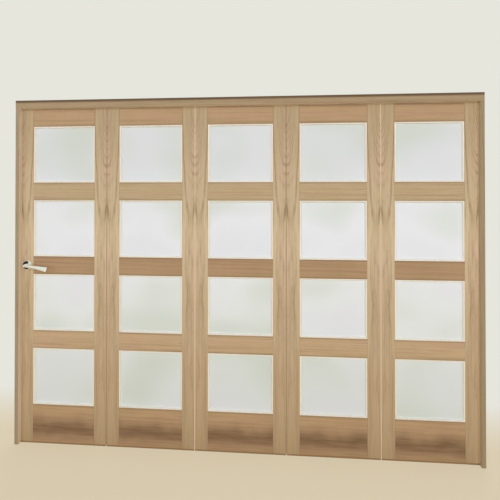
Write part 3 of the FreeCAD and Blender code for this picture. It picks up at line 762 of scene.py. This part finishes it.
def add_object(name, data):
    """A new object in the scene that holds a mesh, a lamp or a camera."""
    made = bpy.data.objects.new(name, data)
    bpy.context.scene.collection.objects.link(made)
    return made


def settle(piece, name):
    """Names a piece, points its faces outwards and moves its place into its mesh."""
    pick_alone(piece)
    apply_place()
    edit_all()
    bpy.ops.mesh.remove_doubles(threshold=SAME_PLACE)
    bpy.ops.mesh.normals_make_consistent(inside=False)
    end_edit()
    piece.name = name
    piece.data.name = name


def copy_to(original, place):
    """A copy of a piece with its own mesh, moved to another place."""
    twin = add_object(original.name, original.data.copy())
    for vertex in twin.data.vertices:
        vertex.co += place
    return twin


def join_copies(name, originals_and_places):
    """Copies originals to their places and joins the copies to one piece."""
    copies = [copy_to(original, place) for original, place in originals_and_places]
    start_alone()
    for twin in copies:
        twin.select_set(True)
    bpy.context.view_layer.objects.active = copies[0]
    bpy.ops.object.join()
    joined = bpy.context.object
    joined.name = name
    joined.data.name = name
    return joined


def fit(piece, material, body):
    """Finishes a new piece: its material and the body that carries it."""
    dress(piece, material)
    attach(piece, body)


def lathe(name, centre, profile, facing):
    """A turned ring: a circle extruded and scaled through pairs of distance and radius."""
    start_alone()
    first_out, first_radius = profile[0]
    bpy.ops.mesh.primitive_circle_add(
        vertices=64, radius=first_radius, fill_type="NOTHING",
        location=(centre.x, centre.y + facing * first_out, centre.z),
        rotation=(QUARTER_TURN, 0, 0))
    piece = bpy.context.object
    apply_place()
    edit_all()
    for (out, radius), (next_out, next_radius) in zip(profile, profile[1:]):
        bpy.ops.mesh.extrude_region_move(
            TRANSFORM_OT_translate={"value": (0, facing * (next_out - out), 0)})
        grow = next_radius / radius
        bpy.ops.transform.resize(value=(grow, 1, grow), center_override=tuple(centre))
    end_edit()
    settle(piece, name)
    bpy.ops.object.shade_smooth_by_angle(angle=SMOOTH_ANGLE)
    return piece


def model_seal(side):
    """A fine sloping fillet round the lowest pane of the first leaf."""
    sizes = looks("fittings")
    low, high = PANE_SPANS[0]
    wide = SIGHT_HIGH.x - SIGHT_LOW.x - 2 * BEAD_WIDE
    tall = high - low + 2 * PANE_PLAY - 2 * BEAD_WIDE
    middle = Vector(((SIGHT_LOW.x + SIGHT_HIGH.x) / 2, side * GLASS_FACE, (low + high) / 2))
    start_alone()
    bpy.ops.mesh.primitive_plane_add(size=1, location=middle, rotation=(QUARTER_TURN, 0, 0))
    piece = bpy.context.object
    piece.scale = (wide, tall, 1)
    apply_place()
    edit_all()
    bpy.ops.mesh.inset(thickness=sizes.seal_width, depth=0)
    bpy.ops.mesh.delete(type="FACE")
    bpy.ops.mesh.select_all(action="SELECT")
    bpy.ops.mesh.extrude_region_move(
        TRANSFORM_OT_translate={"value": (0, side * sizes.seal_high, 0)})
    inner_wide = (wide - sizes.seal_width) / 2
    inner_tall = (tall - sizes.seal_width) / 2
    pick_corners(piece, lambda co: abs(co.y) > GLASS_FACE + sizes.seal_high / 2
                 and abs(co.x - middle.x) < inner_wide and abs(co.z - middle.z) < inner_tall)
    slope = 0.85
    bpy.ops.transform.translate(value=(0, -side * sizes.seal_high * slope, 0))
    end_edit()
    settle(piece, "seal")
    return piece


def pane_moves():
    """Moves from the lowest pane of the first leaf to every pane of that leaf."""
    return [Vector((0, 0, low - PANE_SPANS[0][0])) for low, high in PANE_SPANS]


def leaf_move(leaf):
    """Move from the first leaf to another."""
    return Vector((leaf_span(leaf)[0] - LEAF_LOW.x, 0, 0))


def repeat_round_panes(kind, groups, material):
    """Joins copies of small pieces at their places round every pane, leaf by leaf."""
    for leaf in EACH_LEAF:
        places = [(original, leaf_move(leaf) + up + place)
                  for original, around in groups for up in pane_moves() for place in around]
        fit(join_copies(f"leaf_{leaf}_{kind}", places), material, FIXED)


def add_seals():
    originals = [model_seal(FRONT), model_seal(BACK)]
    groups = [(original, [Vector()]) for original in originals]
    repeat_round_panes("seals", groups, painted("seal", looks("fittings").seal, 0.4))
    for original in originals:
        bpy.data.objects.remove(original)


def brush_strip(name, low, high):
    """A strip of brush pile with rounded long edges, between two corners."""
    start_alone()
    bpy.ops.mesh.primitive_cube_add(size=1, location=(low + high) / 2)
    piece = bpy.context.object
    piece.scale = high - low
    apply_place()
    edit_all()
    rounded = 0.3
    bpy.ops.mesh.bevel(offset=min(high - low) * rounded, segments=2)
    end_edit()
    settle(piece, name)
    return piece


SEAL_CLEAR = 0.0002
FOOT_CLEAR = 0.001
EDGE_SEAL_HALF = 0.0014


def add_edge_seals():
    """Brush seals in the gaps at the leaves' sides, over them and under them."""
    sizes = looks("fittings")
    brown = painted("brush_seal", sizes.brush, 0.8)
    # The cream seal in the lit seams is a painted highlight.
    cream = painted("edge_seal", sizes.edge, 0.6)
    # The fawn seal is painted light over the shade at the left jamb and under the head.
    painted_light_fawn = painted("painted_light_seal", sizes.painted_light_seal, 0.8)
    foot = painted("foot_shadow_brush", sizes.foot_shadow_brush, 0.8)
    front = LEAF_LOW.y + sizes.brush_inset
    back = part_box("hinges_leaf_1_2")[0].y - SEAL_CLEAR
    for seam in range(LEAVES + 1):
        middle = seam_place(seam)
        # Lit seams get the cream seal, a painted highlight.
        pale = seam in LIT_SEAMS
        piece = brush_strip(f"edge_seal_{seam + 1}",
                            Vector((middle - EDGE_SEAL_HALF, front, LEAF_LOW.z)),
                            Vector((middle + EDGE_SEAL_HALF, back, LEAF_HIGH.z)))
        dark = painted_light_fawn if seam == 0 else brown
        fit(piece, cream if pale else dark, FIXED)
    # The dark brush under each leaf is a painted shadow line.
    for leaf in EACH_LEAF:
        left, right = leaf_span(leaf)
        low = Vector((left + FOOT_CLEAR, front, sizes.brush_play))
        high = Vector((right - FOOT_CLEAR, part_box("floor_pivot")[0].y - 2 * SEAL_CLEAR,
                       LEAF_LOW.z))
        fit(brush_strip(f"foot_shadow_brush_{leaf}", low, high), foot, FIXED)
    # The head brush takes painted light over the shade under the head.
    low = Vector((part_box("jamb_left")[1].x, front, LEAF_HIGH.z + SEAL_CLEAR))
    high = Vector((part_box("jamb_right")[0].x, back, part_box("head")[0].z))
    fit(brush_strip("head_brush", low, high), painted_light_fawn, FIXED)


def pin_places(side):
    """Places of the pins in the four beads of the lowest pane of the first leaf."""
    count = looks("fittings").pins_along
    low, high = PANE_SPANS[0][0] - PANE_PLAY, PANE_SPANS[0][1] + PANE_PLAY
    inset = BEAD_STEPS[1] / 2
    out = side * BEAD_FACE
    places = []
    for number in range(count):
        share = (number + 0.5) / count
        x = SIGHT_LOW.x + share * (SIGHT_HIGH.x - SIGHT_LOW.x)
        z = low + share * (high - low)
        places += [Vector((x, out, low + inset)), Vector((x, out, high - inset)),
                   Vector((SIGHT_LOW.x + inset, out, z)), Vector((SIGHT_HIGH.x - inset, out, z))]
    return places


def model_pin():
    """The flattened round head of a bead pin, at the origin."""
    start_alone()
    bpy.ops.mesh.primitive_uv_sphere_add(segments=8, ring_count=5,
                                         radius=looks("fittings").pin_width / 2)
    piece = bpy.context.object
    flat = 0.6
    piece.scale = (1, flat, 1)
    settle(piece, "pin")
    bpy.ops.object.shade_smooth()
    return piece


def add_bead_pins():
    original = model_pin()
    groups = [(original, pin_places(side)) for side in (FRONT, BACK)]
    repeat_round_panes("bead_pins", groups, metal("bead_pin", looks("metal").pin, 0.4))
    bpy.data.objects.remove(original)


def smooth_twin(node, name):
    """A node's own shape as one closed smooth surface, which stands for the node."""
    piece = add_object(name, NODES[node].data.copy())
    pick_alone(piece)
    bpy.ops.mesh.customdata_custom_splitnormals_clear()
    edit_all()
    bpy.ops.mesh.remove_doubles(threshold=2 * SAME_PLACE)
    end_edit()
    bpy.ops.object.shade_smooth_by_angle(angle=LEVER_ANGLE)
    return piece


def model_grub_screw(name, place):
    """The end of a grub screw in the underside of a neck, with the socket that turns it."""
    wide = looks("fittings").grub_wide
    long, rim, socket = 0.0016, wide * 0.24, 0.001
    start_alone()
    bpy.ops.mesh.primitive_cylinder_add(vertices=24, radius=wide / 2, depth=long, location=place)
    piece = bpy.context.object
    apply_place()
    pick_corners(piece, lambda co: co.z < place.z)
    bpy.ops.mesh.inset(thickness=rim, depth=0)
    bpy.ops.transform.translate(value=(0, 0, socket))
    end_edit()
    settle(piece, name)
    bpy.ops.object.shade_smooth_by_angle(angle=SMOOTH_ANGLE)
    return piece


def add_handle():
    """Polished levers and roses, with a turned ring and a grub screw at each neck."""
    metals, sizes = looks("metal"), looks("fittings")
    chrome = metal("polished_chrome", metals.chrome, metals.polish)
    screw_steel = metal("grub_screw", metals.steel, metals.satin)
    neck_end = ROSE_LOW.y - 0.001
    neck_radius = HANDLE.z - min(vertex.co.z for vertex in NODES["lever_front"].data.vertices
                                 if vertex.co.y > neck_end)
    for end, facing in (("front", FRONT), ("back", BACK)):
        for kind, body in (("rose", FIXED), ("lever", TURNING)):
            piece = smooth_twin(f"{kind}_{end}", f"{kind}_{end}_polished")
            fit(piece, chrome, body)
            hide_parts(f"{kind}_{end}")
        rose_low, rose_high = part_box(f"rose_{end}")
        centre = Vector((HANDLE.x, rose_low.y if facing == FRONT else rose_high.y, HANDLE.z))
        long, radius = sizes.collar_long, sizes.collar_wide / 2
        gap, ease, groove, wall = 0.0004, 0.0006, 0.0004, 0.0016
        ring = lathe(f"neck_ring_{end}", centre, [
            (gap, radius - wall), (gap, radius - ease), (gap + ease, radius),
            (long * 0.45, radius), (long * 0.5, radius - groove), (long * 0.55, radius),
            (long - ease, radius), (long, radius - ease), (long, radius - wall),
        ], facing)
        fit(ring, chrome, TURNING)
        under = centre + Vector((0, facing * sizes.grub_place, -neck_radius))
        fit(model_grub_screw(f"grub_screw_{end}", under), screw_steel, TURNING)


def finish_metalwork():
    metals = looks("metal")
    steel = metal("satin_steel", metals.steel, metals.satin, brushed=(60.0, 60.0, 2200.0))
    track = metal("anodised_aluminium", metals.aluminium, 0.36, brushed=(4.0, 1800.0, 1800.0))
    dress(NODES["top_track"], track)
    for node in [*(name for name in NODES if name.startswith("hinges_")), "track_hangers",
                 "top_pivot", "floor_pivot", "latch_forend", "strike_plate", "spindle"]:
        dress(NODES[node], steel)


# Stage

def add_sun(name, strength, towards, degrees):
    """A soft lamp far away, shining from a direction, which polished metal doesn't mirror."""
    lamp = bpy.data.lights.new(name, "SUN")
    lamp.energy = strength
    lamp.angle = math.radians(degrees)
    holder = add_object(name, lamp)
    holder.rotation_euler = Vector(towards).to_track_quat("Z", "Y").to_euler()
    holder.visible_glossy = False


def seen_rays(tree):
    """1 for the rays that see the backdrop: those of the camera, of gloss and through glass."""
    rays = add_node(tree, "ShaderNodeLightPath").outputs
    seen = plus(rays["Is Camera Ray"], rays["Is Glossy Ray"])
    return work_out("ADD", seen, rays["Is Transmission Ray"], limit=True)


def light_world(strength, backdrop):
    """Even light all round; the camera, gloss and glass see a pale backdrop instead."""
    world = bpy.data.worlds.new("studio")
    world.use_nodes = True
    tree = world.node_tree
    tree.nodes.clear()
    seen = seen_rays(tree)
    tint = blend_colours(seen, grey(1.0), paint(backdrop))
    glow = step("ShaderNodeBackground", {
        "Color": tint, "Strength": spread(seen, 0.0, 1.0, strength)})
    add_node(tree, "ShaderNodeOutputWorld", {"Surface": glow})
    bpy.context.scene.world = world


FLOOR_REACH = 12
FLOOR_FADE = (0.15, 0.9)
FLOOR_SHOWN = 0.62


def add_floor(shade, backdrop):
    """A pale floor far wider than the door, which turns into the backdrop behind it."""
    start_alone()
    bpy.ops.mesh.primitive_plane_add(size=FLOOR_REACH,
                                     location=((CAD_LOW.x + CAD_HIGH.x) / 2, 0, 0))
    floor = bpy.context.object
    floor.name = "floor"
    material, where = new_material("floor")
    tree = material.node_tree
    mottle = noise(where, (1.2, 1.2, 1.2))
    tint = ramp(mottle, [(0.3, paint([part * 0.985 for part in shade])), (0.7, paint(shade))],
                "LINEAR")
    behind = spread(axis_of(where, "Y"), *FLOOR_FADE)
    shown = spread(behind, 0.0, 1.0, FLOOR_SHOWN)
    plain = step("ShaderNodeBsdfPrincipled", {"Base Color": tint, "Roughness": 0.6})
    glow = step("ShaderNodeEmission", {
        "Color": blend_colours(behind, paint(shade), paint(backdrop))})
    mixed = step("ShaderNodeMixShader", {0: times(shown, seen_rays(tree)), 1: plain, 2: glow})
    add_node(tree, "ShaderNodeOutputMaterial", {"Surface": mixed})
    floor.data.materials.append(material)


FLAG_PLACE = Vector((-1.495, -2.132, 0.75))
FLAG_SIZE = (0.95, 0.5, 1)


def add_flag():
    """A black studio card that faces the handle, and that only polished metal mirrors."""
    start_alone()
    bpy.ops.mesh.primitive_plane_add(size=1, location=FLAG_PLACE)
    card = bpy.context.object
    card.name = "flag"
    card.scale = FLAG_SIZE
    card.rotation_euler = (HANDLE - FLAG_PLACE).to_track_quat("Z", "Y").to_euler()
    for sight in ("camera", "diffuse", "transmission", "volume_scatter", "shadow"):
        setattr(card, f"visible_{sight}", False)
    material, where = new_material("flag")
    weave = noise(where, (60, 60, 60), detail=2.0)
    finish_material({"Base Color": ramp(weave, [(0.3, 0.004), (0.7, 0.01)]), "Roughness": 0.9})
    card.data.materials.append(material)


def place_camera(stage):
    camera = add_object("camera", bpy.data.cameras.new("camera"))
    camera.data.lens = stage.lens
    camera.data.sensor_width = 36
    camera.data.shift_y = stage.shift
    camera.location = stage.camera_place
    camera.rotation_euler = (QUARTER_TURN + stage.tilt, 0, stage.turn)
    bpy.context.scene.camera = camera


def set_stage():
    stage = looks("stage")
    add_floor(stage.floor, stage.backdrop)
    light_world(stage.sky, stage.backdrop)
    add_flag()
    add_sun("key", stage.key, (0.5, -1.0, 0.18), 34)
    add_sun("fill", stage.fill, (-0.5, -1.0, 0.18), 50)
    add_sun("rear", stage.rear, (0.1, 1.0, 0.25), 50)
    place_camera(stage)
    bpy.context.scene.view_settings.view_transform = "Standard"


# Steps that the panel offers

class BIFOLD_OT_stiles(bpy.types.Operator):
    """Finish the stiles in oak, book-matched at each seam"""
    bl_idname = "bifold.stiles"
    bl_label = "Finish Stiles"

    def execute(self, context):
        finish_stiles()
        return {"FINISHED"}


class BIFOLD_OT_rails(bpy.types.Operator):
    """Finish the rails in oak, each board with its own colour"""
    bl_idname = "bifold.rails"
    bl_label = "Finish Rails"

    def execute(self, context):
        finish_rails()
        return {"FINISHED"}


class BIFOLD_OT_beads(bpy.types.Operator):
    """Finish the glazing beads in oak, with a painted cream highlight"""
    bl_idname = "bifold.beads"
    bl_label = "Finish Beads"

    def execute(self, context):
        finish_beads()
        return {"FINISHED"}


class BIFOLD_OT_panes(bpy.types.Operator):
    """Finish the panes in frosted glass"""
    bl_idname = "bifold.panes"
    bl_label = "Finish Panes"

    def execute(self, context):
        finish_panes()
        return {"FINISHED"}


class BIFOLD_OT_lining(bpy.types.Operator):
    """Finish the jambs and the head in oak"""
    bl_idname = "bifold.lining"
    bl_label = "Finish Lining"

    def execute(self, context):
        finish_lining()
        return {"FINISHED"}


class BIFOLD_OT_metalwork(bpy.types.Operator):
    """Finish the track, hinges, pivots, latch and spindle"""
    bl_idname = "bifold.metalwork"
    bl_label = "Finish Metalwork"

    def execute(self, context):
        finish_metalwork()
        return {"FINISHED"}


class BIFOLD_OT_handle(bpy.types.Operator):
    """Polish the levers and roses, and add a ring and a grub screw to each neck"""
    bl_idname = "bifold.handle"
    bl_label = "Polish Handle"

    def execute(self, context):
        add_handle()
        return {"FINISHED"}


class BIFOLD_OT_seals(bpy.types.Operator):
    """Add the seal between the beads and the glass"""
    bl_idname = "bifold.seals"
    bl_label = "Add Seals"

    def execute(self, context):
        add_seals()
        return {"FINISHED"}


class BIFOLD_OT_edge_seals(bpy.types.Operator):
    """Add the brush seals at the edges of the leaves"""
    bl_idname = "bifold.edge_seals"
    bl_label = "Add Edge Seals"

    def execute(self, context):
        add_edge_seals()
        return {"FINISHED"}


class BIFOLD_OT_bead_pins(bpy.types.Operator):
    """Add the heads of the pins that hold the beads"""
    bl_idname = "bifold.bead_pins"
    bl_label = "Add Bead Pins"

    def execute(self, context):
        add_bead_pins()
        return {"FINISHED"}


class BIFOLD_OT_stage(bpy.types.Operator):
    """Set up the floor, the light and the camera"""
    bl_idname = "bifold.stage"
    bl_label = "Set Stage"

    def execute(self, context):
        set_stage()
        return {"FINISHED"}


OPERATORS = (BIFOLD_OT_stiles, BIFOLD_OT_rails, BIFOLD_OT_beads, BIFOLD_OT_panes,
             BIFOLD_OT_lining, BIFOLD_OT_metalwork, BIFOLD_OT_handle, BIFOLD_OT_seals,
             BIFOLD_OT_edge_seals, BIFOLD_OT_bead_pins, BIFOLD_OT_stage)


class BIFOLD_PT_panel(bpy.types.Panel):
    """Lists the steps that finish the door"""
    bl_label = "Folding Door"
    bl_idname = "BIFOLD_PT_panel"
    bl_space_type = "VIEW_3D"
    bl_region_type = "UI"
    bl_category = "Folding Door"

    def draw(self, context):
        for step in OPERATORS:
            self.layout.operator(step.bl_idname)
        for name in SETTINGS:
            box = self.layout.box()
            for key in SETTINGS[name].__annotations__:
                box.prop(looks(name), key)


SETTINGS = {"oak": OakLooks, "glass": GlassLooks, "metal": MetalLooks,
            "fittings": FittingSizes, "stage": StageLooks}


def register():
    for kind in (*SETTINGS.values(), *OPERATORS, BIFOLD_PT_panel):
        bpy.utils.register_class(kind)
    for name, kind in SETTINGS.items():
        setattr(bpy.types.Scene, f"bifold_{name}", bpy.props.PointerProperty(type=kind))


def unregister():
    for name in SETTINGS:
        delattr(bpy.types.Scene, f"bifold_{name}")
    for kind in reversed((*SETTINGS.values(), *OPERATORS, BIFOLD_PT_panel)):
        bpy.utils.unregister_class(kind)


def main():
    register()
    bpy.ops.bifold.stiles()
    bpy.ops.bifold.rails()
    bpy.ops.bifold.beads()
    bpy.ops.bifold.panes()
    bpy.ops.bifold.lining()
    bpy.ops.bifold.metalwork()
    bpy.ops.bifold.handle()
    bpy.ops.bifold.seals()
    bpy.ops.bifold.edge_seals()
    bpy.ops.bifold.bead_pins()
    bpy.ops.bifold.stage()


if __name__ == "__main__":
    main()
